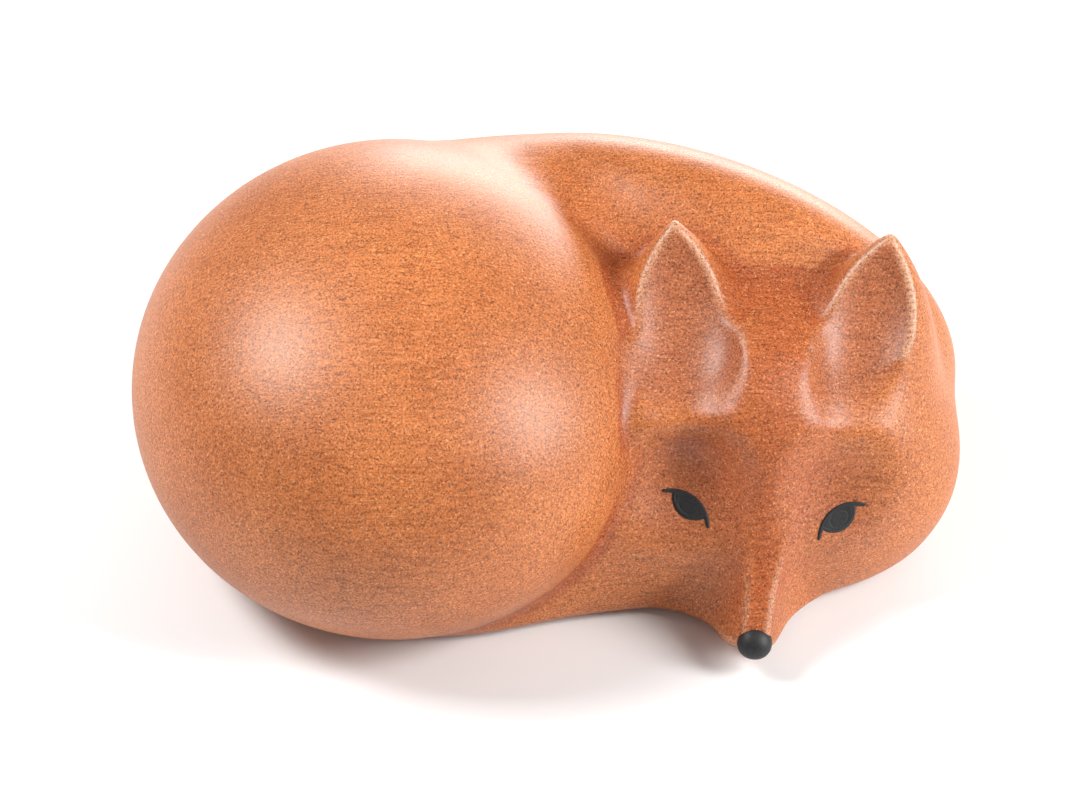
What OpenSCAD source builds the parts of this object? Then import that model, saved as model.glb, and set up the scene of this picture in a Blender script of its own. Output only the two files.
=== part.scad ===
// Curled-up sleeping fox, a hollow stoneware figurine on felt pads. Millimetres, +Z up.
// The nose points to -Y and the haunch lies to -X. The form is one blended skin of rounded lobes.

/* [Haunch] */
// Width of the haunch lobe
haunch_w = 154; // [130:1:180]
// Depth of the haunch lobe, front to back
haunch_d = 167; // [140:1:190]
// Height of the whole haunch lobe, of which the foot is cut off
haunch_h = 124; // [105:1:140]
// Middle of the haunch lobe, left or right
haunch_x = -44.9; // [-60:0.1:-30]
// Middle of the haunch lobe, front or back
haunch_y = -3.2; // [-12:0.1:12]
// Middle of the haunch lobe above the table
haunch_z = 45; // [38:0.5:52]
// Turn of the haunch lobe
haunch_turn = 4; // [-20:1:20]

/* [Back] */
// Length of the back lobe
back_w = 176; // [150:1:190]
// Thickness of the back lobe, front to back
back_d = 66; // [56:1:80]
// Height of the whole back lobe
back_h = 104; // [90:1:116]
// Middle of the back lobe, left or right
back_x = 37.6; // [30:0.1:50]
// Middle of the back lobe, front or back
back_y = 38.8; // [32:0.1:46]
// Middle of the back lobe above the table
back_z = 41.5; // [34:0.5:46]
// Turn of the back lobe
back_turn = -22; // [-32:1:-12]

/* [Chest] */
// Width of the chest lobe
chest_w = 136; // [120:1:150]
// Depth of the chest lobe
chest_d = 75; // [60:1:84]
// Height of the whole chest lobe
chest_h = 108; // [90:1:120]
// Middle of the chest lobe, left or right
chest_x = 52.5; // [44:0.1:60]
// Middle of the chest lobe, front or back
chest_y = -17.5; // [-24:0.1:-8]
// Middle of the chest lobe above the table
chest_z = 26; // [22:0.5:36]

/* [Forelegs] */
// Width of the folded foreleg lobe under the chin
leg_w = 162; // [140:1:170]
// Depth of the folded foreleg lobe
leg_d = 41; // [34:1:50]
// Height of the whole foreleg lobe
leg_h = 56; // [44:1:64]
// Middle of the foreleg lobe, left or right
leg_x = 28.6; // [22:0.1:36]
// Middle of the foreleg lobe, front or back
leg_y = -26.7; // [-32:0.1:-20]
// Middle of the foreleg lobe above the table
leg_z = 10; // [6:0.5:16]
// Turn of the foreleg lobe
leg_turn = 26; // [10:1:30]

/* [Head] */
// Middle of the face, left or right
head_x = 62.6; // [56:0.1:68]
// Middle of the face, front or back
head_y = -34.2; // [-38:0.1:-30]
// Middle of the face above the table
head_z = 38; // [34:0.5:42]
// Sideways tilt of the face
head_tilt = 3.5; // [-5:0.1:8]
// Angle of the face's front above the horizon
head_pitch = 54; // [46:1:60]
// Width of the skull
skull_w = 100; // [88:1:108]
// Length of the skull from brow to nape
skull_l = 84; // [74:1:94]
// Thickness of the skull
skull_h = 56; // [48:1:64]
// How far the skull's middle lies up the face from the middle of the face
skull_up = 14; // [8:0.5:20]
// How deep the skull's middle lies below the face
skull_deep = 19; // [14:0.5:24]

/* [Muzzle] */
// Distance from the middle of the face to the middle of the nose
muzzle_l = 49.2; // [44:0.2:54]
// Width of the flat bridge between the eyes
bridge_w = 19; // [16:0.5:28]
// Width of the flat bridge at the nose
bridge_tip_w = 6.4; // [5:0.2:9]
// Height of the bridge at the middle of the face
bridge_h = 12; // [8:0.2:13]
// Height of the bridge at the nose
bridge_tip_h = 4.3; // [3.5:0.1:5]
// Angle between the bridge's flat and the sides of the muzzle
side_angle = 64; // [50:1:68]
// Drop of the chin for each millimetre back from the nose
chin_slope = 0.9; // [0.7:0.05:1.2]
// Radius of the edge along the bridge
bridge_edge = 1.8; // [1.5:0.1:5]
// How far the bridge runs up the face from its middle
bridge_up = 18; // [12:0.5:24]
// Blend of the bridge's upper end
bridge_fade = 16; // [8:1:24]
// Sideways lean of the muzzle for each millimetre of its height
muzzle_lean = 0.14; // [0:0.01:0.2]

/* [Nose] */
// Radius of the black nose
nose_r = 5; // [4:0.1:6]
// Sideways place of the nose on the face
nose_side = -0.8; // [-2:0.1:2]
// How far the nose's middle stands out from the plane of the face
nose_out = 1.5; // [0:0.1:3]

/* [Eyes] */
// Distance between the middles of the eyes
eye_gap = 44.6; // [38:0.2:52]
// How far the eyes lie from the middle of the face towards the nose
eye_down = 11.6; // [8:0.1:18]
// Length of an eye along its lids
eye_l = 12.4; // [9:0.1:15]
// Height of an eye across its lids
eye_w = 6.2; // [4:0.1:8]
// Slant of an eye, the outer corner up
eye_slant = 38; // [20:1:50]
// Length by which the upper lid's line runs past each corner
lid_l = 2.2; // [1:0.1:4]
// Thickness of the upper lid's line
lid_t = 1.2; // [0.8:0.1:2]
// Depth of the recess that the black inlay of an eye sits in
eye_deep = 1.6; // [1:0.1:2.5]
// How far an eye stands proud of the face
eye_proud = 0.4; // [0.2:0.1:0.8]
// Width of the hollow round an eye
socket_w = 39; // [30:1:48]
// Length of the hollow round an eye, along the face
socket_l = 50; // [40:1:60]
// Radius of the hollow round an eye, out of the face
socket_round = 18.5; // [14:0.5:24]
// How far the hollow's middle lies from the middle of the face towards the nose
socket_down = 15; // [10:0.5:20]
// Distance between the middles of the two hollows
socket_gap = 52; // [44:1:60]
// How far the lowest point of a hollow lies above the middle of the face
socket_floor = 8.5; // [7:0.1:10]

/* [Ears] */
// Distance between the ear tips
ear_gap = 62; // [50:0.2:68]
// How far the ear tips lie up the face from its middle
ear_up = 68.5; // [60:0.5:76]
// How far the ear tips stand out from the plane of the face
ear_out = 23; // [18:0.5:28]
// Half the width of an ear at its foot
ear_w = 22.5; // [20:0.5:27]
// Distance between the middles of the ear feet
ear_foot_gap = 51; // [48:0.5:60]
// How far the ear feet lie up the face from its middle
ear_foot_up = 27; // [22:0.5:32]
// How deep the middle of an ear's foot lies below the plane of the face
ear_foot_deep = 6; // [2:0.5:10]
// Thickness of an ear for each millimetre of its width
ear_thick = 1; // [0.9:0.01:1.1]
// Radius of the rounded tip of an ear
ear_tip_r = 1.6; // [1:0.1:3]
// How far the right ear turns outwards
right_ear_turn = 20; // [0:1:30]
// Half the width of the bowl hollowed out of an ear's front
bowl_w = 18.5; // [15:0.5:21]
// Depth of the bowl for each millimetre of its half-width
bowl_thick = 0.62; // [0.5:0.01:0.8]
// How far the bowl's middle lies outside the middle of the ear's foot
bowl_shift = 3; // [0:0.5:5]
// Length of the bowl's round lower end
bowl_low = 26; // [20:0.5:32]
// How far the bowl's middle lies up the face
bowl_up = 36; // [30:0.5:42]
// How far the bowl's middle stands out from the plane of the face
bowl_out = 28; // [24:0.5:30]
// Fillet between an ear and the head
ear_blend = 5; // [3:0.5:8]
// How deep the foot of an ear reaches below the plane of the face
ear_deep = 15; // [13:0.5:18]
// Width of the head that is left between the feet of the ears
ear_apart = 4; // [2:0.5:8]
// How far outside an ear its seam with the head runs
ear_seam = 3; // [2:0.5:4]

/* [Ceramic wall and seams] */
// Thickness of the fired wall
wall = 6; // [4:0.5:9]
// How deep the seam between head and body lies below the plane of the face
seam_deep = 24; // [18:1:30]
// Width of the head inside the seam
seam_w = 108; // [98:1:114]
// Length of the head inside the seam
seam_l = 124; // [116:1:130]
// Radius of the vent hole that lets the kiln's heat out of the hollow
vent_r = 4; // [2.5:0.5:6]
// Clearance of the inlaid pieces in their seats
seat_gap = 0.05; // [0.02:0.01:0.2]

/* [Felt pads] */
// Radius of a felt pad
pad_r = 7; // [5:0.5:9]
// Thickness of a felt pad
pad_t = 1.2; // [0.8:0.1:3]

/* [Smoothness] */
// Soft blend between the haunch and the back
valley_soft = 24; // [16:1:32]
// Sharp blend between the haunch and the head
crease_sharp = 3; // [2:0.5:6]
// Blend between the lobes of the body
lobe_blend = 22; // [16:1:28]
// Blend between the head and the body
head_blend = 12; // [8:1:18]
// Blend between the muzzle and the skull
muzzle_blend = 5; // [3:1:10]
// Blend of the hollows round the eyes
socket_blend = 8; // [5:1:12]
// Rounding of the foot where the body meets its flat base
foot_r = 5; // [3:0.5:8]

/* [Hidden] */

clay = "#d2774a";
black = "#2b2b2d";
felt = "#4a4038";

// Centres and half-axes of the lobes
haunch_c = [haunch_x, haunch_y, haunch_z];
haunch_r = [haunch_w, haunch_d, haunch_h] / 2;
back_c = [back_x, back_y, back_z];
back_r = [back_w, back_d, back_h] / 2;
chest_c = [chest_x, chest_y, chest_z];
chest_r = [chest_w, chest_d, chest_h] / 2;
leg_c = [leg_x, leg_y, leg_z];
leg_r = [leg_w, leg_d, leg_h] / 2;

// The face has its own axes: side to the right, down towards the nose, and out of the face
head_c = [head_x, head_y, head_z];
level_side = [1, 0, 0];
level_down = [0, -sin(head_pitch), -cos(head_pitch)];
face_side = level_side * cos(head_tilt) + level_down * sin(head_tilt);
face_down = level_down * cos(head_tilt) - level_side * sin(head_tilt);
face_out = [0, -cos(head_pitch), sin(head_pitch)];

skull_c = [0, -skull_up, -skull_deep];
skull_r = [skull_w, skull_l, skull_h] / 2;
nose_c = [nose_side, muzzle_l, nose_out];
socket_r = [socket_w / 2, socket_l / 2, socket_round];

// The valley between haunch and back turns into a crease from back to front
valley_y = 32.8;
crease_y = -17.2;

// Points inside the lobes from which rays find the skin, and how close the rays lie
body_core = [8, -9, 38];
body_rings = 31;
body_sides = 56;
hollow_core = [8, 1, 30];
hollow_rings = 14;
hollow_sides = 28;
head_core = [0, -8, -12];
head_sides = 60;
ear_core_up = 21;
ear_core_deep = 8;
ear_sides = 40;
ray_l = 240;
stride = 0.8;
near_steps = 8;
ray_steps = 8;
// A hair below the base, so that the cut leaves one true flat
base_cut = 0.4;
tiny = 0.001;
bowl_tip_r = 0.8;
bowl_from_tip = [0, 1, 3.5];
world_axes = [[1, 0, 0], [0, 1, 0], [0, 0, 1]];
// Rings about the muzzle and about an ear, closer together where the form is narrow
head_polars = [for (i = [1 : 34]) i < 10 ? 3 * i : i < 27 ? 27 + 4.5 * (i - 9) : 103.5 + 9 * (i - 26)];
ear_polars = [for (i = [1 : 30]) i < 20 ? 4 * i : 76 + 8 * (i - 19)];

function clamp(x) = min(max(x, 0), 1);
function mix(a, b, x) = a + (b - a) * clamp(x);
function joined(a, b, k) = min(a, b) - pow(max(k - abs(a - b), 0), 2) / (4 * k);
function carved(a, b, k) = max(a, -b) + pow(max(k - abs(a + b), 0), 2) / (4 * k);
function both(a, b, k) = carved(a, -b, k);

// Distance to an ellipsoid with half-axes r, from a point q in its own axes
function egg(q, r) =
    let (u = [q.x / r.x, q.y / r.y, q.z / r.z])
    let (a = norm(u), b = norm([u.x / r.x, u.y / r.y, u.z / r.z]))
    a * (a - 1) / max(b, tiny);

function turned(q, angle) =
    [q.x * cos(angle) + q.y * sin(angle), q.y * cos(angle) - q.x * sin(angle), q.z];

function lobe(p, centre, r, angle) = egg(turned(p - centre, angle), r);

function on_face(p) = let (q = p - head_c) [q * face_side, q * face_down, q * face_out];
function in_world(q) = head_c + q.x * face_side + q.y * face_down + q.z * face_out;

// The muzzle is a wedge with a flat bridge, steep sides and a receding chin
function muzzle(q) =
    let (t = q.y / muzzle_l)
    let (side = abs(q.x - nose_side * clamp(t) - muzzle_lean * (q.z - bridge_tip_h)))
    let (half = (bridge_w + (bridge_tip_w - bridge_w) * t) / 2)
    let (top = q.z - bridge_h - (bridge_tip_h - bridge_h) * t)
    let (flank = (side - half) * sin(side_angle) + (q.z - bridge_tip_h) * cos(side_angle))
    let (chin = (-nose_r - chin_slope * (muzzle_l - q.y) - q.z) / norm([1, chin_slope]))
    let (bar = both(both(top, flank, bridge_edge), chin, nose_r))
    both(both(bar, q.y - muzzle_l, nose_r), -bridge_up - q.y, bridge_fade);

// Axes of an ear or of its bowl: across, along to the tip, and out
function ear_axes(foot, tip, turn) =
    let (along = (tip - foot) / norm(tip - foot))
    let (flat = [0, 0, 1] - along * along.z)
    let (out = flat / norm(flat))
    let (across = cross(along, out))
    [across * cos(turn) - out * sin(turn), along, out * cos(turn) + across * sin(turn)];

function bowl_foot(side) = [side * (ear_foot_gap / 2 + bowl_shift), -bowl_up, bowl_out];
function bowl_tip(side) = ear_tip(side) + bowl_from_tip;
function ear_foot(side) = [side * ear_foot_gap / 2, -ear_foot_up, -ear_foot_deep];
function ear_core(side) = ear_foot(side) - [0, ear_core_up, ear_core_deep];
function ear_tip(side) = [side * ear_gap / 2, -ear_up, ear_out];
function ear_turn(side) = side > 0 ? right_ear_turn : 0;

// A pointed arch: its half-width is w, its height is h, and its sides are arcs
function arch_r(w, h) = (h * h + w * w) / (2 * w);

// Distance to a pointed arch turned about its own axis, with a round lower end
function arch(q, foot, tip, turn, w, low, tip_r, thick) =
    let (axes = ear_axes(foot, tip, turn), e = q - foot)
    let (across = norm([e * axes[0], e * axes[2] / thick]), along = e * axes[1])
    let (w0 = w - tip_r, h0 = norm(tip - foot) - tip_r, r = arch_r(w0, h0))
    let (past_tip = (along - h0) * (r - w0) > across * h0)
    along < 0 ? egg([across, along, 0], [w, low, w])
        : (past_tip ? norm([across, along - h0]) : norm([across + r - w0, along]) - r) - tip_r;

function ear(q, side) =
    arch(q, ear_foot(side), ear_tip(side), ear_turn(side), ear_w, ear_w, ear_tip_r, ear_thick);

// The end of an ear's zone, past the tip, and the distance to that zone
function zone_tip(side) =
    let (reach = ear_tip(side) - ear_foot(side)) ear_tip(side) + reach * ear_seam / norm(reach);
function zone(q, side) = max(-ear_deep - q.z, ear_apart / 2 - side * q.x, arch(
    q, ear_foot(side), zone_tip(side), ear_turn(side), ear_w + ear_seam, ear_w - ear_seam, ear_seam, ear_thick
));

// The back, chest, forelegs and head in one skin, hollowed round the eyes
function front_skin(p, q) =
    let (back = lobe(p, back_c, back_r, back_turn))
    let (chest = lobe(p, chest_c, chest_r, 0))
    let (legs = lobe(p, leg_c, leg_r, leg_turn))
    let (trunk = joined(joined(back, chest, lobe_blend), legs, lobe_blend))
    let (head = joined(egg(q - skull_c, skull_r), muzzle(q), muzzle_blend))
    let (from_eye = [abs(q.x) - socket_gap / 2, q.y - socket_down, q.z - socket_floor - socket_r.z])
    carved(joined(trunk, head, head_blend), egg(from_eye, socket_r), socket_blend);

function with_haunch(face, p) =
    let (k = mix(crease_sharp, valley_soft, (p.y - crease_y) / (valley_y - crease_y)))
    joined(lobe(p, haunch_c, haunch_r, haunch_turn), face, k);

function on_base(d, p) = both(d, pad_t - base_cut - p.z, foot_r);

// Signed distance to a skin, below zero inside: each piece is cut from the skin that it needs
HEAD = 0;
BODY = 1;
HOLLOW = 2;
WHOLE = 3;
function skin(p, kind) =
    let (q = on_face(p), front = front_skin(p, q))
    kind == HEAD ? on_base(front, p)
        : kind == BODY ? on_base(with_haunch(front, p), p)
        : kind == HOLLOW ? both(
            on_base(with_haunch(front, p), p) + wall,
            wall - min(zone(q, -1), zone(q, 1)),
            2 * wall
        )
        : let (ears = joined(joined(front, ear(q, -1), ear_blend), ear(q, 1), ear_blend))
            on_base(with_haunch(ears, p), p);

// Steps from t along the ray towards the first point of a skin
function step_out(c, d, kind, t, steps) =
    let (f = skin(c + d * t, kind))
    steps == 0 || f > 0 ? [t, f] : step_out(c, d, kind, t - stride * f, steps - 1);

// Length of the ray to a skin, between a length inside it and one outside
function reach(c, d, kind, a, fa, b, fb, steps) =
    let (t = (a * fb - b * fa) / (fb - fa), ft = skin(c + d * t, kind))
    steps == 0 ? t
        : ft > 0 ? reach(c, d, kind, a, fa / 2, t, ft, steps - 1)
        : reach(c, d, kind, t, ft, b, fb / 2, steps - 1);

function skin_point(c, d, kind) =
    let (near = step_out(c, d, kind, 0, near_steps))
    let (inside = near[1] < 0)
    let (a = inside ? near : [0, skin(c, kind)])
    let (b = inside ? [ray_l, skin(c + d * ray_l, kind)] : near)
    c + d * reach(c, d, kind, a[0], a[1], b[0], b[1], ray_steps);

function ray(axes, polar, around) =
    axes[0] * sin(polar) * cos(around) + axes[1] * sin(polar) * sin(around) + axes[2] * cos(polar);

// A closed skin of rings about the third axis, from pole to pole
module star_solid(c, axes, polars, sides, kind) {
    n = len(polars);
    rings = [
        for (polar = polars)
        for (j = [0 : sides - 1]) skin_point(c, ray(axes, polar, 360 * j / sides), kind)
    ];
    points = concat(rings, [skin_point(c, axes[2], kind), skin_point(c, -axes[2], kind)]);
    first = n * sides;
    last = first + 1;
    walls = [
        for (i = [0 : n - 2])
        for (j = [0 : sides - 1])
        let (a = i * sides + j, b = i * sides + (j + 1) % sides)
        each [[a, b, b + sides], [a, b + sides, a + sides]]
    ];
    caps = [
        for (j = [0 : sides - 1])
        let (k = (j + 1) % sides, low = (n - 1) * sides)
        each [[first, k, j], [last, low + j, low + k]]
    ];
    polyhedron(points, concat(walls, caps), convexity = 6);
}

module place_on_face() {
    multmatrix([
        [face_side.x, face_down.x, face_out.x, head_c.x],
        [face_side.y, face_down.y, face_out.y, head_c.y],
        [face_side.z, face_down.z, face_out.z, head_c.z]
    ]) children();
}

// Makes one skin of what it holds, at its own size
module one_skin() {
    resize([0, 0, 0], convexity = 6) children();
}

function even_polars(rings) = [for (i = [1 : rings]) 180 * i / (rings + 1)];

module body_form() {
    star_solid(body_core, world_axes, even_polars(body_rings), body_sides, BODY);
}

module hollow_form() {
    star_solid(hollow_core, world_axes, even_polars(hollow_rings), hollow_sides, HOLLOW);
}

// Axes with the third one along aim and the first one square to it and to up
function aimed(aim, up) =
    let (along = aim / norm(aim), side = cross(up, along) / norm(cross(up, along)))
    [side, cross(along, side), along];

module head_form() {
    c = in_world(head_core);
    star_solid(c, aimed(in_world(nose_c) - c, face_out), head_polars, head_sides, HEAD);
}

module ear_form(side) {
    c = in_world(ear_core(side));
    star_solid(c, aimed(in_world(ear_tip(side)) - c, face_out), ear_polars, ear_sides, WHOLE);
}

module above_base() {
    translate([-ray_l, -ray_l, pad_t]) cube([2 * ray_l, 2 * ray_l, ray_l]);
}

module haunch_lobe() {
    translate(haunch_c)
        rotate([0, 0, haunch_turn])
        scale(haunch_r)
        sphere(r = 1, $fn = 72);
}

// The stretch of the figure that an ear is cut from, inside the ear's seam
module ear_zone(side) {
    intersection() {
        arch_solid(
            ear_foot(side), zone_tip(side), ear_turn(side),
            ear_w + ear_seam, ear_w - ear_seam, ear_seam, ear_thick
        );
        place_on_face()
            mirror([side > 0 ? 0 : 1, 0, 0])
            translate([ear_apart / 2, -ray_l, -ear_deep])
            cube(2 * ray_l);
    }
}

// The stretch of the figure that is the head
module head_zone() {
    place_on_face()
        translate([0, -skull_up / 2, -seam_deep])
        scale([seam_w / seam_l, 1, 1])
        cylinder(d = seam_l, h = ray_l, $fn = 72);
}

module body_shell() {
    color(clay)
        difference() {
            one_skin()
                difference() {
                    intersection() {
                        body_form();
                        above_base();
                    }
                    hollow_form();
                    difference() {
                        union() {
                            head_zone();
                            ear_zone(-1);
                            ear_zone(1);
                            bowl(1);
                        }
                        haunch_lobe();
                    }
                }
            translate([haunch_x, haunch_y, 0]) cylinder(r = vent_r, h = pad_t + 2 * wall, $fn = 32);
        }
}

module head_shell() {
    color(clay)
        one_skin()
        difference() {
            intersection() {
                head_form();
                above_base();
                head_zone();
            }
            haunch_lobe();
            hollow_form();
            ear_zone(-1);
            ear_zone(1);
            bowl(-1);
            bowl(1);
            eye_seat(-1, seat_gap);
            eye_seat(1, seat_gap);
            translate(in_world(nose_c)) sphere(r = nose_r + seat_gap, $fn = 48);
        }
}

// The bowl hollowed out of the front of an ear
module bowl(side) {
    arch_solid(bowl_foot(side), bowl_tip(side), ear_turn(side), bowl_w, bowl_low, bowl_tip_r, bowl_thick);
}

module ear_piece(side) {
    one_skin()
        difference() {
            intersection() {
                ear_form(side);
                ear_zone(side);
            }
            haunch_lobe();
            bowl(side);
        }
}

// Outline of an eye: an almond between two lids, and the upper lid's line past both corners
module eye_outline(gap) {
    r = arch_r(eye_w / 2, eye_l / 2);
    offset(delta = gap) {
        intersection() {
            translate([0, eye_w / 2 - r]) circle(r = r, $fn = 96);
            translate([0, r - eye_w / 2]) circle(r = r, $fn = 96);
        }
        intersection() {
            translate([0, eye_w / 2 - r])
                difference() {
                    circle(r = r, $fn = 96);
                    circle(r = r - lid_t, $fn = 96);
                }
            translate([0, eye_w / 2]) square([eye_l + 2 * lid_l, eye_w * 2], center = true);
        }
    }
}

// The straight-sided seat of an eye, from its floor outwards
module eye_seat(side, gap) {
    at = [side * eye_gap / 2, eye_down];
    skin_at = on_face(skin_point(in_world([at.x, at.y, -seam_deep]), face_out, HEAD));
    place_on_face()
        translate([at.x, at.y, skin_at.z - eye_deep - gap])
        mirror([side > 0 ? 0 : 1, 0, 0])
        rotate([0, 0, -eye_slant])
        mirror([0, 1, 0])
        linear_extrude(ray_l / 12) eye_outline(gap);
}

module eye(side) {
    one_skin()
        intersection() {
            eye_seat(side, 0);
            translate(face_out * eye_proud) head_form();
        }
}

// Half outline of a pointed arch with a rounded tip, and a round lower end where low is over zero
function arch_side(w, h, tip_r, low) =
    let (w0 = w - tip_r, h0 = h - tip_r, r = arch_r(w0, h0), top = asin(h0 / r))
    concat(
        [for (i = [0 : 12]) [(r + tip_r) * cos(top * i / 12) - r + w0, (r + tip_r) * sin(top * i / 12)]],
        [for (i = [1 : 2]) [tip_r * cos(mix(top, 90, i / 3)), h0 + tip_r * sin(mix(top, 90, i / 3))]],
        [[0, h]],
        [for (i = [0 : 7]) [w * sin(90 * i / 8), -low * cos(90 * i / 8)]]
    );

module arch_solid(foot, tip, turn, w, low, tip_r, thick) {
    axes = ear_axes(foot, tip, turn);
    place_on_face()
        multmatrix([
            [axes[0].x, axes[2].x * thick, axes[1].x, foot.x],
            [axes[0].y, axes[2].y * thick, axes[1].y, foot.y],
            [axes[0].z, axes[2].z * thick, axes[1].z, foot.z]
        ])
        hull() rotate_extrude($fn = 48) polygon(arch_side(w, norm(tip - foot), tip_r, low));
}

module ear_left() { color(clay) ear_piece(-1); }
module ear_right() { color(clay) ear_piece(1); }
module eye_left() { color(black) eye(-1); }
module eye_right() { color(black) eye(1); }
module nose_tip() { color(black) translate(in_world(nose_c)) sphere(r = nose_r, $fn = 48); }

// The pads stand under the haunch, the back and the chest, well inside the flat base
module felt_pad(at) { color(felt) translate(at) cylinder(r = pad_r, h = pad_t, $fn = 48); }
module felt_pad_1() { felt_pad([haunch_x - haunch_w / 4, haunch_y, 0]); }
module felt_pad_2() { felt_pad([haunch_x, haunch_y - haunch_d / 4, 0]); }
module felt_pad_3() { felt_pad([back_x, back_y - back_d / 8, 0]); }
module felt_pad_4() { felt_pad([chest_x + chest_w / 4, chest_y, 0]); }

body_shell();
head_shell();
ear_left();
ear_right();
eye_left();
eye_right();
nose_tip();
felt_pad_1();
felt_pad_2();
felt_pad_3();
felt_pad_4();
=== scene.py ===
"""Curled-up sleeping fox figurine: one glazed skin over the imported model, black eyes and nose, felt pads."""
import math

import bpy
import numpy as np
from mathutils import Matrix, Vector


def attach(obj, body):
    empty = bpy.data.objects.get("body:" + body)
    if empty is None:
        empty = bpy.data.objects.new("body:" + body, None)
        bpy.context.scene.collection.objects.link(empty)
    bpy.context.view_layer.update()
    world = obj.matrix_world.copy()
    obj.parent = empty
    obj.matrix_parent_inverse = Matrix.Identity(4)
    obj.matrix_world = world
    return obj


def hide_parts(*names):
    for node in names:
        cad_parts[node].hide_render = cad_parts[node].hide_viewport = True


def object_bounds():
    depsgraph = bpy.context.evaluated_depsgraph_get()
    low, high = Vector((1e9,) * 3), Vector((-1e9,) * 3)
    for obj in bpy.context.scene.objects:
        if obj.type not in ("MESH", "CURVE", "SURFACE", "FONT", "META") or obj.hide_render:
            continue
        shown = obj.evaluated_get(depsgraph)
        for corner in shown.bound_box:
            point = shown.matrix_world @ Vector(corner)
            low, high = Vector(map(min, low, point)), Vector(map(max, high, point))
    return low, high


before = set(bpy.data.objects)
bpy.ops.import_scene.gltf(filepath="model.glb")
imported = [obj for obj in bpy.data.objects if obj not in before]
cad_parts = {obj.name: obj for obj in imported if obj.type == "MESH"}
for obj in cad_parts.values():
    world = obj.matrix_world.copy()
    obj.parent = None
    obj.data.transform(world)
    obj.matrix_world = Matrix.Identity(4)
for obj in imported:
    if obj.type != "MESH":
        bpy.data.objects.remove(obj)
cad_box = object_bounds()
MM = 0.001

# Sizes are in millimetres and degrees, colours are linear, and a side is -1 for left and 1 for right.

# The body's lobes: centre, half sizes, and turn about the vertical.
HAUNCH = ((-44.9, -3.2, 45), (77, 83.5, 62), 4)
BACK = ((37.6, 38.8, 41.5), (88, 33, 52), -22)
CHEST = ((52.5, -17.5, 26), (68, 37.5, 54), 0)
LEGS = ((28.6, -26.7, 10), (81, 20.5, 28), 26)
TRUNK_BLEND, NECK_BLEND = 22, 12
# The valley beside the haunch is a sharp crease at the head and softens towards the back.
CREASE_Y, VALLEY_Y, CREASE_BLEND, VALLEY_BLEND = -17.2, 32.8, 3, 16
PAD_T, FOOT_R = 1.2, 5

# The head has its own axes: across the face, down it to the nose, and out of it.
HEAD_C, HEAD_TILT, HEAD_PITCH = (62.6, -34.2, 38), 3.5, 54
SKULL = ((0, -14, -19), (50, 42, 28))
SOCKET, SOCKET_BLEND = ((24.5, 14, 25.8), (20.5, 24, 18.8)), 8
NOSE_C, NOSE_R = (-0.8, 49.2, 1.5), 5.0
# The muzzle is a flat bridge that narrows to the nose, with sloping sides and a chin that falls away.
BRIDGE_W, BRIDGE_TIP_W, BRIDGE_H, BRIDGE_TIP_H, BRIDGE_EDGE = 10, 3.4, 12.6, 4.6, 1.3
SIDE_ANGLE, CHIN_SLOPE, MUZZLE_LEAN, MUZZLE_BLEND = 61, 0.9, 0.14, 3.5
MUZZLE_PAST_NOSE, MUZZLE_TIP_R, MUZZLE_BACK, MUZZLE_BACK_R = 0.6, 3, -18, 16

# An ear and its bowl are pointed arches: foot, tip, half width, radius at the tip, depth for its width.
EAR_FOOT, EAR_TIP, EAR_W, EAR_TIP_R, EAR_THICK, EAR_BLEND = (25.5, -27, -6), (31, -68.5, 23), 22.5, 1.6, 1.0, 5
BOWL_FOOT, BOWL_TIP, BOWL_W, BOWL_TIP_R, BOWL_THICK = (28, -36, 28.2), (31, -67.5, 26.5), 17.6, 1.0, 0.64
BOWL_LOW = 24
EAR_TURN = {-1: 0, 1: 20}
# The bowl's rim is crisp above and runs out softly towards the brow.
RIM_BLEND, RIM_FADE, FADE_FROM, FADE_LENGTH = 2, 9, -34, 18

CELL, MARGIN, SLAB = 1.0, 4, 24


# The form: signed distances in millimetres, below zero inside the clay.
def joined(a, b, k):
    return np.minimum(a, b) - np.maximum(k - np.abs(a - b), 0) ** 2 / (4 * k)


def carved(a, b, k):
    return np.maximum(a, -b) + np.maximum(k - np.abs(a + b), 0) ** 2 / (4 * k)


def both(a, b, k):
    return carved(a, -b, k)


def egg(q, r):
    """An ellipsoid about the origin, or an ellipse in two dimensions."""
    r = np.asarray(r, q.dtype)
    u = q / r
    reach = np.sqrt((u * u).sum(-1))
    slope = np.sqrt(((u / r) ** 2).sum(-1))
    return reach * (reach - 1) / np.maximum(slope, 1e-9)


def lobe(p, spec):
    centre, r, angle = spec
    c, s = math.cos(math.radians(angle)), math.sin(math.radians(angle))
    q = p - np.asarray(centre, p.dtype)
    x = q[..., 0] * c + q[..., 1] * s
    y = q[..., 1] * c - q[..., 0] * s
    return egg(np.stack([x, y, q[..., 2]], -1), r)


def face_axes():
    e, t = math.radians(HEAD_PITCH), math.radians(HEAD_TILT)
    side = np.array([1.0, 0, 0])
    down = np.array([0, -math.sin(e), -math.cos(e)])
    out = np.array([0, -math.cos(e), math.sin(e)])
    return np.stack([side * math.cos(t) + down * math.sin(t), down * math.cos(t) - side * math.sin(t), out], 1)


FACE = face_axes()


def on_face(p):
    return (p - np.asarray(HEAD_C, p.dtype)) @ FACE.astype(p.dtype)


def in_world(q):
    return np.asarray(q, float) @ FACE.T + np.asarray(HEAD_C, float)


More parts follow.
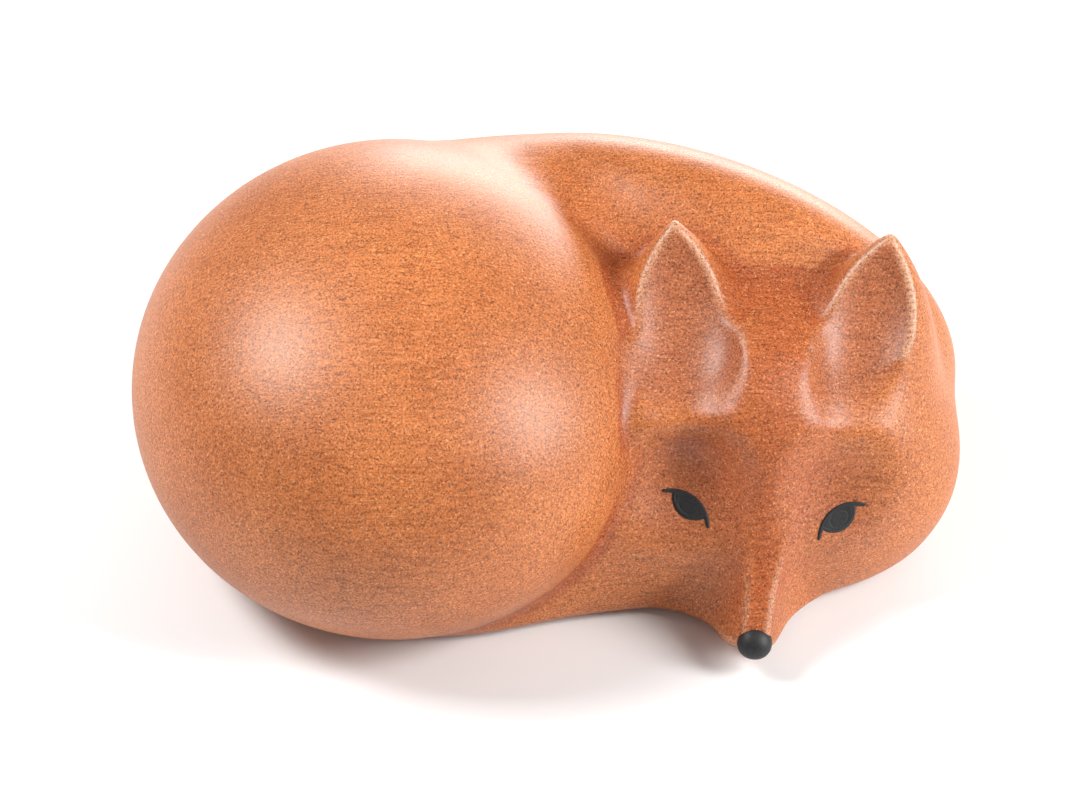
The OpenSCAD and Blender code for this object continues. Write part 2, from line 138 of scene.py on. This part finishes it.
def muzzle(q):
    length = NOSE_C[1]
    t = q[..., 1] / length
    side = np.abs(q[..., 0] - NOSE_C[0] * np.clip(t, 0, 1) - MUZZLE_LEAN * (q[..., 2] - BRIDGE_TIP_H))
    half = BRIDGE_W + (BRIDGE_TIP_W - BRIDGE_W) * t
    top = q[..., 2] - BRIDGE_H - (BRIDGE_TIP_H - BRIDGE_H) * t
    a = math.radians(SIDE_ANGLE)
    flank = (side - half) * math.sin(a) + (q[..., 2] - BRIDGE_TIP_H) * math.cos(a)
    bar = both(top, flank, BRIDGE_EDGE)
    chin = (-NOSE_R - CHIN_SLOPE * (length - q[..., 1]) - q[..., 2]) / math.hypot(1, CHIN_SLOPE)
    bar = both(both(bar, chin, NOSE_R), q[..., 1] - length - MUZZLE_PAST_NOSE, MUZZLE_TIP_R)
    return both(bar, MUZZLE_BACK - q[..., 1], MUZZLE_BACK_R)


def mirrored(v, side):
    return (v[0] * side, v[1], v[2])


def arch_axes(foot, tip, turn):
    along = np.array(tip, float) - np.array(foot, float)
    along /= np.linalg.norm(along)
    out = np.array([0, 0, 1.0])
    out -= along * (along @ out)
    out /= np.linalg.norm(out)
    across = np.cross(along, out)
    c, s = math.cos(math.radians(turn)), math.sin(math.radians(turn))
    return np.stack([across * c - out * s, along, out * c + across * s], 1)


def arch(q, foot, tip, turn, w, low, tip_r, thick):
    """A pointed arch turned about its own length, with half an ellipse below its foot."""
    axes = arch_axes(foot, tip, turn).astype(q.dtype)
    e = (q - np.asarray(foot, q.dtype)) @ axes
    across = np.hypot(e[..., 0], e[..., 2] / thick)
    along = e[..., 1]
    h0 = float(np.linalg.norm(np.array(tip, float) - np.array(foot, float))) - tip_r
    w0 = w - tip_r
    r = (h0 * h0 + w0 * w0) / (2 * w0)
    past = (along - h0) * (r - w0) > across * h0
    upper = np.where(past, np.hypot(across, along - h0), np.hypot(across + r - w0, along) - r) - tip_r
    lower = egg(np.stack([across, along], -1), (w, low))
    return np.where(along < 0, lower, upper)


def ear(q, side):
    foot, tip = mirrored(EAR_FOOT, side), mirrored(EAR_TIP, side)
    return arch(q, foot, tip, EAR_TURN[side], EAR_W, EAR_W, EAR_TIP_R, EAR_THICK)


def bowl(q, side):
    foot, tip = mirrored(BOWL_FOOT, side), mirrored(BOWL_TIP, side)
    return arch(q, foot, tip, EAR_TURN[side], BOWL_W, BOWL_LOW, BOWL_TIP_R, BOWL_THICK)


def skin(p):
    """The whole figure, cut flat at the top of the felt pads."""
    q = on_face(p)
    trunk = joined(joined(lobe(p, BACK), lobe(p, CHEST), TRUNK_BLEND), lobe(p, LEGS), TRUNK_BLEND)
    head = joined(egg(q - np.asarray(SKULL[0], q.dtype), SKULL[1]), muzzle(q), MUZZLE_BLEND)
    d = joined(trunk, head, NECK_BLEND)
    for side in (-1, 1):
        d = carved(d, egg(q - np.asarray(mirrored(SOCKET[0], side), q.dtype), SOCKET[1]), SOCKET_BLEND)
    for side in (-1, 1):
        d = joined(d, ear(q, side), EAR_BLEND)
    rim = RIM_BLEND + RIM_FADE * np.clip((q[..., 1] - FADE_FROM) / FADE_LENGTH, 0, 1)
    for side in (-1, 1):
        d = carved(d, bowl(q, side), rim)
    towards_back = np.clip((p[..., 1] - CREASE_Y) / (VALLEY_Y - CREASE_Y), 0, 1)
    d = joined(lobe(p, HAUNCH), d, CREASE_BLEND + (VALLEY_BLEND - CREASE_BLEND) * towards_back)
    return both(d, PAD_T - p[..., 2], FOOT_R)


# From the form to a mesh.
def each_axis(h):
    return h * np.eye(3)


def settled(f, p, times=4, h=0.08, least=0.05):
    """Points brought onto the surface along its slope; least keeps a step finite where the slope is small."""
    for _ in range(times):
        slope = np.stack([(f(p + step) - f(p - step)) / (2 * h) for step in each_axis(h)], 1)
        p = p - slope * (f(p) / np.maximum((slope * slope).sum(1), least))[:, None]
    return p


def bend(f, p, h=1.0):
    """How sharply the surface bends: above zero on ridges, below zero in creases."""
    return (sum(f(p + step) + f(p - step) for step in each_axis(h)) - 6 * f(p)) / (h * h)


def surface_net(f, low, high, cell):
    """One point in each cell that the surface crosses, and one quad around each grid edge that it cuts."""
    axes = [np.arange(low[k], high[k] + cell, cell) for k in range(3)]
    n = [len(a) for a in axes]
    field = np.empty(n, np.float32)
    for start in range(0, n[0], SLAB):
        x, y, z = np.meshgrid(axes[0][start : start + SLAB], axes[1], axes[2], indexing="ij")
        field[start : start + SLAB] = f(np.stack([x, y, z], -1).astype(np.float32))
    inside = field < 0
    total = np.zeros([m - 1 for m in n] + [3], np.float32)
    count = np.zeros([m - 1 for m in n], np.float32)

    def at_corner(c):
        return field[c[0] : n[0] - 1 + c[0], c[1] : n[1] - 1 + c[1], c[2] : n[2] - 1 + c[2]]

    for corner in np.ndindex(2, 2, 2):
        for k in range(3):
            if corner[k]:
                continue
            other = list(corner)
            other[k] = 1
            a, b = at_corner(corner), at_corner(other)
            cut = (a < 0) != (b < 0)
            crossing = [np.full(a.shape, v, np.float32) for v in corner]
            crossing[k] = np.where(cut, a / np.where(cut, a - b, 1), 0)
            total += np.stack(crossing, -1) * cut[..., None]
            count += cut
    has = count > 0
    index = -np.ones(has.shape, np.int64)
    index[has] = np.arange(has.sum())
    points = (np.argwhere(has) + total[has] / count[has][:, None]) * cell + np.array(low)
    faces = []
    for k in range(3):
        u, v = (k + 1) % 3, (k + 2) % 3
        near = [slice(1, n[m] - 1) for m in range(3)]
        far = list(near)
        near[k], far[k] = slice(0, n[k] - 1), slice(1, n[k])
        a, b = inside[tuple(near)], inside[tuple(far)]
        for leaving in (True, False):
            edge = np.argwhere((a == leaving) & (b != leaving))
            ring = []
            for du, dv in ((0, 0), (1, 0), (1, 1), (0, 1)):
                beside = edge.copy()
                beside[:, u] += du
                beside[:, v] += dv
                ring.append(index[tuple(beside.T)])
            faces.append(np.stack(ring if leaving else ring[::-1], 1))
    return points, np.concatenate(faces)


def new_mesh(name, points, faces, material):
    mesh = bpy.data.meshes.new(name)
    mesh.from_pydata([tuple(v) for v in np.asarray(points) * MM], [], [tuple(int(i) for i in f) for f in faces])
    mesh.validate()
    mesh.update()
    mesh.shade_smooth()
    piece = bpy.data.objects.new(name, mesh)
    bpy.context.collection.objects.link(piece)
    piece.data.materials.append(material)
    return piece


# Materials. Noise scales are per metre, and bump distances are in metres.
def new_material(name, roughness):
    material = bpy.data.materials.new(name)
    material.use_nodes = True
    tree = material.node_tree
    surface = tree.nodes["Principled BSDF"]
    surface.inputs["Roughness"].default_value = roughness
    return material, tree, surface


def object_place(tree):
    return tree.nodes.new("ShaderNodeTexCoord").outputs["Object"]


def noise(tree, at, scale, detail=2.0, rough=0.5):
    node = tree.nodes.new("ShaderNodeTexNoise")
    node.inputs["Scale"].default_value = scale
    node.inputs["Detail"].default_value = detail
    node.inputs["Roughness"].default_value = rough
    tree.links.new(at, node.inputs["Vector"])
    return node.outputs["Fac"]


def ramp(tree, fac, *stops):
    node = tree.nodes.new("ShaderNodeValToRGB")
    for element, (position, colour) in zip(node.color_ramp.elements, stops):
        element.position = position
        element.color = (*colour, 1)
    tree.links.new(fac, node.inputs["Fac"])
    return node.outputs["Color"]


def mixed(tree, fac, a, b, blend="MIX"):
    node = tree.nodes.new("ShaderNodeMix")
    node.data_type = "RGBA"
    node.blend_type = blend
    for socket, value in ((node.inputs["Factor"], fac), (node.inputs["A"], a), (node.inputs["B"], b)):
        if isinstance(value, float):
            socket.default_value = value
        elif isinstance(value, tuple):
            socket.default_value = (*value, 1)
        else:
            tree.links.new(value, socket)
    return node.outputs["Result"]


def bump(tree, height, strength, distance, over=None):
    node = tree.nodes.new("ShaderNodeBump")
    node.inputs["Strength"].default_value = strength
    node.inputs["Distance"].default_value = distance
    tree.links.new(height, node.inputs["Height"])
    if over is not None:
        tree.links.new(over, node.inputs["Normal"])
    return node.outputs["Normal"]


CLAY_DARK, CLAY_LIGHT = (0.52, 0.150, 0.038), (0.64, 0.205, 0.060)
# The red glaze is the brow's colour and painted shade in creases, the brown one is painted shade in the ear
# bowls and around the eyes, and the pale one is a painted highlight on ridges.
RED_BROW_AND_CREASE_SHADE, BROWN_HOLLOW_SHADE, PALE_RIDGE_HIGHLIGHT = (0.43, 0.095, 0.022), (0.40, 0.120, 0.052), (0.80, 0.50, 0.33)
FLECK_DARK, FLECK_NONE = (0.16, 0.09, 0.07), (1.02,) * 3
SPARK_NONE, SPARK_PALE = (0, 0, 0), (0.34, 0.22, 0.12)
STROKE_DARK, STROKE_NONE = (0.60, 0.53, 0.48), (1.03,) * 3
STROKE_STRETCH, STROKE_TURN, STROKE_SHARE, FLECK_SHARE = 0.07, 8, 0.6, 0.9
GLAZE_SMOOTH, GLAZE_ROUGH = 0.36, 0.52


def clay_glaze():
    """Terracotta with painted shade, red in creases and brown in the ear bowls and around the eyes, a painted
    highlight that is pale on ridges, a redder brow, and flecks and brush strokes.
    """
    material, tree, surface = new_material("terracotta_glaze", GLAZE_ROUGH)
    at = object_place(tree)
    tone_and_painted_light = tree.nodes.new("ShaderNodeAttribute")
    tone_and_painted_light.attribute_name = "tone_and_painted_light"
    share = tree.nodes.new("ShaderNodeSeparateColor")
    tree.links.new(tone_and_painted_light.outputs["Color"], share.inputs["Color"])
    colour = ramp(tree, noise(tree, at, 28, 3, 0.55), (0.33, CLAY_DARK), (0.70, CLAY_LIGHT))
    # Painted shade and highlight: the red, brown and pale glazes go where the shares in the skin's colour
    # attribute put them.
    for channel, glaze_and_painted_light in (("Red", RED_BROW_AND_CREASE_SHADE), ("Green", BROWN_HOLLOW_SHADE), ("Blue", PALE_RIDGE_HIGHLIGHT)):
        colour = mixed(tree, share.outputs[channel], colour, glaze_and_painted_light)
    flecks = ramp(tree, noise(tree, at, 1750, 3, 0.7), (0.33, FLECK_DARK), (0.54, FLECK_NONE))
    colour = mixed(tree, FLECK_SHARE, colour, flecks, "MULTIPLY")
    stretched = tree.nodes.new("ShaderNodeMapping")
    stretched.inputs["Scale"].default_value = (STROKE_STRETCH, 1, 1)
    stretched.inputs["Rotation"].default_value = (0, 0, math.radians(STROKE_TURN))
    tree.links.new(at, stretched.inputs["Vector"])
    strokes = noise(tree, stretched.outputs["Vector"], 1100, 3, 0.65)
    streaks = ramp(tree, strokes, (0.36, STROKE_DARK), (0.54, STROKE_NONE))
    colour = mixed(tree, STROKE_SHARE, colour, streaks, "MULTIPLY")
    sparks = ramp(tree, noise(tree, at, 1450, 3, 0.7), (0.54, SPARK_NONE), (0.74, SPARK_PALE))
    tree.links.new(mixed(tree, 1.0, colour, sparks, "ADD"), surface.inputs["Base Color"])
    sheen = tree.nodes.new("ShaderNodeMapRange")
    sheen.inputs["To Min"].default_value = GLAZE_SMOOTH
    sheen.inputs["To Max"].default_value = GLAZE_ROUGH
    tree.links.new(strokes, sheen.inputs["Value"])
    tree.links.new(sheen.outputs["Result"], surface.inputs["Roughness"])
    brushed = bump(tree, strokes, 0.35, 0.0002)
    tree.links.new(bump(tree, noise(tree, at, 1400, 2, 0.6), 0.2, 0.00015, brushed), surface.inputs["Normal"])
    return material


def black_glaze():
    material, tree, surface = new_material("black_glaze", 0.55)
    at = object_place(tree)
    colour = ramp(tree, noise(tree, at, 1600, 2), (0.3, (0.006, 0.006, 0.007)), (0.8, (0.018, 0.018, 0.019)))
    tree.links.new(colour, surface.inputs["Base Color"])
    tree.links.new(bump(tree, noise(tree, at, 1500, 2), 0.25, 0.0002), surface.inputs["Normal"])
    return material


def wool_felt():
    material, tree, surface = new_material("felt", 0.95)
    at = object_place(tree)
    colour = ramp(tree, noise(tree, at, 900, 4), (0.3, (0.05, 0.042, 0.036)), (0.75, (0.13, 0.11, 0.09)))
    tree.links.new(colour, surface.inputs["Base Color"])
    tree.links.new(bump(tree, noise(tree, at, 1400, 3), 0.6, 0.0003), surface.inputs["Normal"])
    return material


def floor_paper():
    material, tree, surface = new_material("floor_paper", 0.9)
    surface.inputs["Base Color"].default_value = (0.86, 0.86, 0.86, 1)
    surface.inputs["Specular IOR Level"].default_value = 0.1
    return material


glaze, black, felt = clay_glaze(), black_glaze(), wool_felt()

# The glazed skin, one closed piece over the body, the head and both ears.
low = [v / MM - MARGIN for v in cad_box[0]]
high = [v / MM + MARGIN for v in cad_box[1]]
points, quads = surface_net(skin, low, high, CELL)
points = settled(skin, points)
fox = new_mesh("fox_skin", points, quads, glaze)


def between(value, low, high):
    """Rises from 0 at low to 1 at high."""
    return np.clip((value - low) / (high - low), 0, 1)


def tones_and_painted_light(points):
    """Shares of the red, the brown and the pale glaze at each point: red for the brow and for painted shade in
    creases, brown for painted shade in the ear bowls and around the eyes, pale for a painted highlight on
    ridges.
    """
    q = on_face(points)
    across, down, out = q[:, 0], q[:, 1], q[:, 2]
    turn = bend(skin, points)
    to_bowl = np.maximum(np.minimum(bowl(q, -1), bowl(q, 1)), 0)
    # Painted shade: brown in the hollows of the ear bowls and around the eye sockets.
    shade_in_bowl = (1 - between(to_bowl, 0, 3)) * (down < -10)
    shade_around_eyes = np.clip(1.2 - np.hypot((np.abs(across) - 24) / 20, (down - 12) / 17), 0, 1) * (out > -15)
    brow_half = 24 - 0.3 * down
    on_brow = between(out, -6, 2) * np.clip(1 - np.abs(across) / brow_half, 0, 1) * (down > -60)
    # Painted shade: the glaze turns red where the surface bends inward, most in the crease beside the haunch;
    # the brow is redder too.
    shade_in_crease = (1 - between(np.abs(lobe(points, HAUNCH)), 0, 5)) * between(-turn, 0, 0.12)
    red = np.clip(0.9 * on_brow + 0.6 * shade_in_crease + 0.7 * between(-turn, 0, 0.15), 0, 1) * (1 - shade_in_bowl)
    brown = np.clip(0.75 * shade_in_bowl + 0.6 * shade_around_eyes, 0, 1)
    # Painted highlight: paler along ridges, much less on the forehead.
    on_forehead = (down > -33) & (down < 5)
    pale = 0.6 * between(turn, 0.2, 0.6) * np.where(on_forehead, 0.15, 1)
    return np.stack([red, brown, pale, np.ones(len(q))], 1)


# The shares go onto the skin as a colour attribute: painted shade, painted highlight and the redder brow.
tone_and_painted_light = fox.data.color_attributes.new("tone_and_painted_light", "FLOAT_COLOR", "POINT")
tone_and_painted_light.data.foreach_set("color", tones_and_painted_light(points).astype(np.float32).ravel())
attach(fox, "root")
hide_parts("body_shell", "head_shell", "ear_left", "ear_right")

# The eyes, black relief on the skin: place across and down the face, and slant of the lids.
EYES = {-1: (22.8, 12.0, 36), 1: (22.2, 12.7, 40)}
LID_HALF, LID_RISE, LID_T, LID_TAPER, LID_TIP, LID_LOW = 8.8, 4.6, 1.45, 3, 0.2, 0.3
BODY_HALF, BODY_TOP, BODY_DROP = 6.3, 2.4, 2.2
EYE_PROUD, EYE_SHOULDER, EYE_SUNK, EYE_STEPS = 0.5, 0.7, 1.2, 150
IRIS_C, IRIS_HALF, IRIS_GROOVE, IRIS_DEEP = 1.2, (2.9, 2.0), 0.13, 0.08
LID_GROOVE_IN, LID_GROOVE, LID_DEEP = 1.0, 0.2, 0.10


def eye_plan(u, v):
    """Distance to an eye's outline, below zero inside; u runs along the lids and v towards the upper lid."""
    r_lid = (LID_HALF**2 + LID_RISE**2) / (2 * LID_RISE)
    upper = np.hypot(u, v - LID_RISE + r_lid) - r_lid
    rise = BODY_TOP + BODY_DROP
    r_low = (BODY_HALF**2 + rise**2) / (2 * rise)
    lower = np.hypot(u, v + BODY_DROP - r_low) - r_low
    body = np.maximum(upper, lower)
    taper = 0.6 + 0.4 * np.clip((LID_HALF - np.abs(u)) / LID_TAPER, 0, 1)
    line = np.maximum(np.maximum(upper, -LID_T * taper - upper), np.abs(u) - LID_HALF + LID_TIP)
    line = np.maximum(line, -v - LID_LOW)
    return np.minimum(body, line), body


def skin_height(x, y, start=20.0, times=14, damp=0.9):
    """How far out of the face the skin lies at each place on it."""
    out = np.full_like(x, start)
    for _ in range(times):
        out = out - damp * skin(in_world(np.stack([x, y, out], -1).reshape(-1, 3))).reshape(x.shape)
    return out


def make_eye(side, node):
    across, along, slant = EYES[side]
    half = LID_HALF + 0.8
    steps = np.linspace(-half, half, EYE_STEPS)
    u, v = np.meshgrid(steps, steps, indexing="ij")
    a = math.radians(slant)
    x = side * (across + u * math.cos(a) - v * math.sin(a))
    y = along - u * math.sin(a) - v * math.cos(a)
    out = skin_height(x, y)
    plan, body = eye_plan(u, v)
    iris = np.hypot(u / IRIS_HALF[0], (v - IRIS_C) / IRIS_HALF[1]) - 1
    lift = EYE_PROUD * np.sqrt(np.clip(-plan / EYE_SHOULDER, 0, 1))
    lift -= IRIS_DEEP * np.exp(-((iris / IRIS_GROOVE) ** 2))
    lift -= LID_DEEP * np.exp(-(((body + LID_GROOVE_IN) / LID_GROOVE) ** 2)) * (v > 0)
    keep = plan < 0
    index = -np.ones(x.shape, int)
    index[keep] = np.arange(keep.sum())
    top = in_world(np.stack([x, y, out + lift], -1)[keep])
    under = in_world(np.stack([x, y, out - EYE_SUNK], -1)[keep])
    m = len(top)
    faces, edges = [], set()
    for i in range(EYE_STEPS - 1):
        for j in range(EYE_STEPS - 1):
            ring = [index[i, j], index[i + 1, j], index[i + 1, j + 1], index[i, j + 1]]
            if min(ring) < 0:
                continue
            ring = ring[::-side]
            faces.append(ring)
            edges.update(zip(ring, ring[1:] + ring[:1]))
    rim = sorted((p, q) for p, q in edges if (q, p) not in edges)
    faces = faces + [[i + m for i in reversed(f)] for f in faces] + [[q, p, p + m, q + m] for p, q in rim]
    piece = new_mesh(node + "_relief", np.concatenate([top, under]), faces, black)
    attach(piece, "root")
    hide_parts(node)


make_eye(-1, "eye_left")
make_eye(1, "eye_right")

# The nose, a bead set into the muzzle's end, a little squarer than a ball.
NOSE_HALF, NOSE_POWER, NOSE_SHIFT = (5.0, 4.9, 4.6), 0.93, (0, -0.9, 0.3)
bpy.ops.mesh.primitive_uv_sphere_add(segments=64, ring_count=40, radius=1)
nose = bpy.context.object
nose.name = "nose_bead"
ball = np.array([v.co for v in nose.data.vertices])
ball = np.sign(ball) * np.abs(ball) ** NOSE_POWER
ball = in_world(ball * NOSE_HALF + np.add(NOSE_C, NOSE_SHIFT))
for vert, place in zip(nose.data.vertices, ball):
    vert.co = place * MM
nose.data.shade_smooth()
nose.data.materials.append(black)
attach(nose, "root")
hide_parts("nose_tip")

# The felt pads keep their solids and get their felt.
for name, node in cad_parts.items():
    if name.startswith("felt_pad"):
        for slot in node.material_slots:
            slot.material = felt

# The floor, and a white room that is brighter to the camera than to the glaze.
bpy.ops.mesh.primitive_plane_add(size=6, location=(0, 0, 0))
floor = bpy.context.object
floor.name = "floor"
floor.data.materials.append(floor_paper())

world = bpy.data.worlds.new("studio")
bpy.context.scene.world = world
world.use_nodes = True
sky = world.node_tree
for kind, strength in (("seen", 1.0), ("room", 0.26)):
    glow = sky.nodes.new("ShaderNodeBackground")
    glow.name = kind
    glow.inputs["Color"].default_value = (1, 1, 1, 1)
    glow.inputs["Strength"].default_value = strength
blend = sky.nodes.new("ShaderNodeMixShader")
sky.links.new(sky.nodes.new("ShaderNodeLightPath").outputs["Is Camera Ray"], blend.inputs["Fac"])
sky.links.new(sky.nodes["room"].outputs["Background"], blend.inputs[1])
sky.links.new(sky.nodes["seen"].outputs["Background"], blend.inputs[2])
sky.links.new(blend.outputs["Shader"], sky.nodes["World Output"].inputs["Surface"])


def direction(azimuth, height):
    """From the object: azimuth 0 is in front and 90 to the right, and height is above the table."""
    a, e = math.radians(azimuth), math.radians(height)
    return Vector((math.sin(a) * math.cos(e), -math.cos(a) * math.cos(e), math.sin(e)))


def softbox(name, azimuth, height, distance, size, power):
    """A rectangular lamp turned to the figure; distance and size are in metres, power in watts."""
    away = direction(azimuth, height)
    light = bpy.data.lights.new(name, "AREA")
    light.shape = "RECTANGLE"
    light.size, light.size_y = size
    light.energy = power
    lamp = bpy.data.objects.new(name, light)
    bpy.context.collection.objects.link(lamp)
    lamp.location = Vector((0, 0, 50 * MM)) + away * distance
    lamp.rotation_euler = away.to_track_quat("Z", "Y").to_euler()


softbox("left_box", -95, 49, 1.0, (0.34, 0.34), 10)
softbox("right_box", 73, 32, 1.0, (0.26, 0.60), 12)
softbox("back_panel", 164, 5, 1.3, (1.1, 0.22), 15)

# The camera looks down from the front; its focal length is kept in pixels of a frame 1080 wide.
TARGET, ELEVATION, DISTANCE = (-2.4 * MM, -12.2 * MM, 45 * MM), 45, 0.9
FOCAL_PX, WIDTH_PX, SENSOR = 3082.5, 1080, 36.0
camera = bpy.data.cameras.new("camera")
camera.lens = FOCAL_PX / WIDTH_PX * SENSOR
camera.sensor_width = SENSOR
camera.clip_start, camera.clip_end = 0.05, 20
eye = bpy.data.objects.new("camera", camera)
bpy.context.collection.objects.link(eye)
back = direction(0, ELEVATION)
eye.location = Vector(TARGET) + back * DISTANCE
eye.rotation_euler = (-back).to_track_quat("-Z", "Y").to_euler()
bpy.context.scene.camera = eye
bpy.context.scene.view_settings.view_transform = "Standard"
